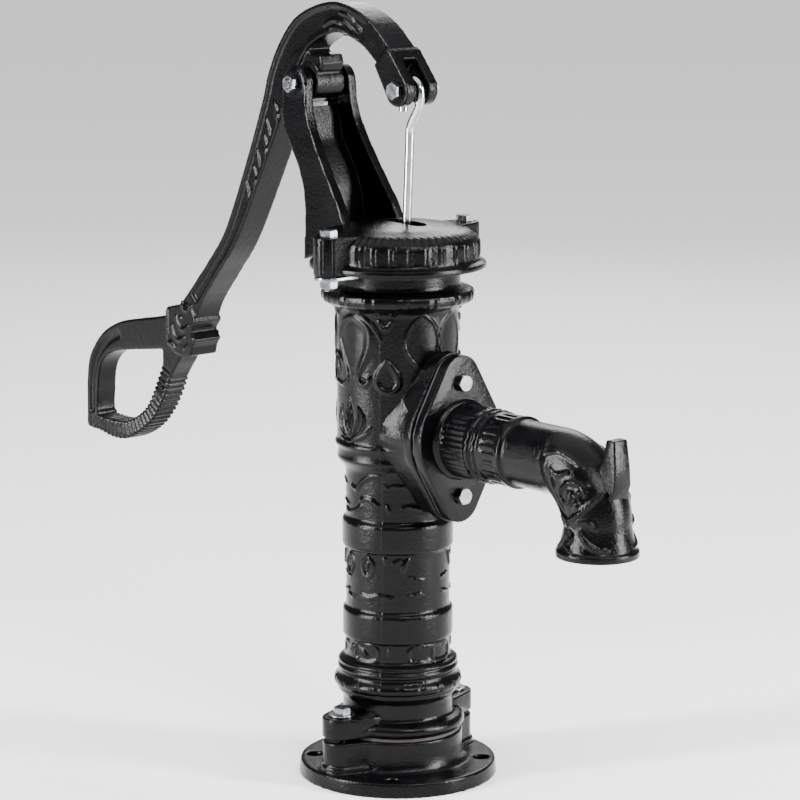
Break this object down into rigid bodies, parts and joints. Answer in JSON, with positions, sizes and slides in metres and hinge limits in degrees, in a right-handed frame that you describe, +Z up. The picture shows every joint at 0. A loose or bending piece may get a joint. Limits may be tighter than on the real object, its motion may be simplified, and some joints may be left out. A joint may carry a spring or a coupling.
{
  "type": "hand well pump",
  "caption": "Cast-iron hand-operated pitcher well pump: round bolted base, tubular barrel, down-turned bolted spout, clamped cap with lever bracket, swan-neck handle and plunger rod.",
  "frame": {"origin": "centre of the inlet at the underside of the base flange", "axes": "+Z up along the barrel, +X the way the spout points, +Y to the left of someone looking along the spout from behind; the handle hangs on the -X side"},
  "size_m": [0.7002, 0.1748, 0.6498],
  "materials": {
    "base_iron": "glossy black enamel",
    "barrel_iron": "glossy black enamel",
    "spout_iron": "glossy black enamel",
    "cap_iron": "glossy black enamel",
    "handle_iron": "glossy black enamel",
    "valve_iron": "raw casting",
    "fasteners": "bright zinc plate",
    "clamp_steel": "bright zinc plate",
    "rod_steel": "drawn bright steel",
    "brass": "as cast and turned",
    "leather": "oiled",
    "rubber": "matt sheet"
  },
  "bodies": {
    "pump_body": {"base": "base_iron", "base_gasket": "leather", "barrel": "barrel_iron", "spout_gasket": "rubber", "spout": "spout_iron", "base_washer_near": "fasteners", "base_washer_far": "fasteners", "base_bolt_near": "fasteners", "base_bolt_far": "fasteners", "spout_bolt_lower": "fasteners", "spout_bolt_upper": "fasteners"},
    "cap": {"cap_bracket": "cap_iron", "cap_bolt_near": "fasteners", "cap_bolt_far": "fasteners", "cap_nut_near": "fasteners", "cap_nut_far": "fasteners", "clamp_plate_near": "clamp_steel", "clamp_plate_far": "clamp_steel", "pivot_bolt": "fasteners", "pivot_nut": "fasteners"},
    "handle": {"handle": "handle_iron", "rod_bolt": "fasteners", "rod_bolt_nut": "fasteners"},
    "rod": {"rod": "rod_steel", "rod_nut": "fasteners"},
    "plunger": {"plunger_cage": "brass", "plunger_cup_leather": "leather", "plunger_follower": "valve_iron"},
    "plunger_valve": {"plunger_valve": "brass"},
    "foot_valve": {"foot_valve_flap": "leather", "foot_valve_weight": "valve_iron", "foot_valve_screw": "fasteners", "foot_valve_washer": "fasteners", "foot_valve_nut": "fasteners"}
  },
  "joints": [
    {"name": "cap_swivel", "type": "hinge", "parent": "pump_body", "child": "cap", "pos_m": [0, 0, 0.441], "axis": [0, 0, 1], "range_deg": [-120, 120]},
    {"name": "handle_pivot", "type": "hinge", "parent": "cap", "child": "handle", "pos_m": [-0.0995, 0, 0.5805], "axis": [0, 1, 0], "range_deg": [0, 38]},
    {"name": "rod_hook", "type": "hinge", "parent": "handle", "child": "rod", "pos_m": [0.0175, 0, 0.5815], "axis": [0, 1, 0], "range_deg": [-42, 0]},
    {"name": "plunger_slide", "type": "slide", "parent": "cap", "child": "plunger", "axis": [0, 0, 1], "range_m": [-0.073, 0]},
    {"name": "plunger_valve_lift", "type": "slide", "parent": "plunger", "child": "plunger_valve", "axis": [0, 0, 1], "range_m": [0, 0.007]},
    {"name": "foot_valve_hinge", "type": "hinge", "parent": "pump_body", "child": "foot_valve", "pos_m": [-0.0267, 0, 0.0405], "axis": [0, -1, 0], "range_deg": [0, 28]}
  ],
  "couplings": [
    {"joint": "rod_hook", "follows": "handle_pivot", "ratio": -1.0929},
    {"joint": "plunger_slide", "follows": "handle_pivot", "m_per_rad": -0.10969}
  ]
}
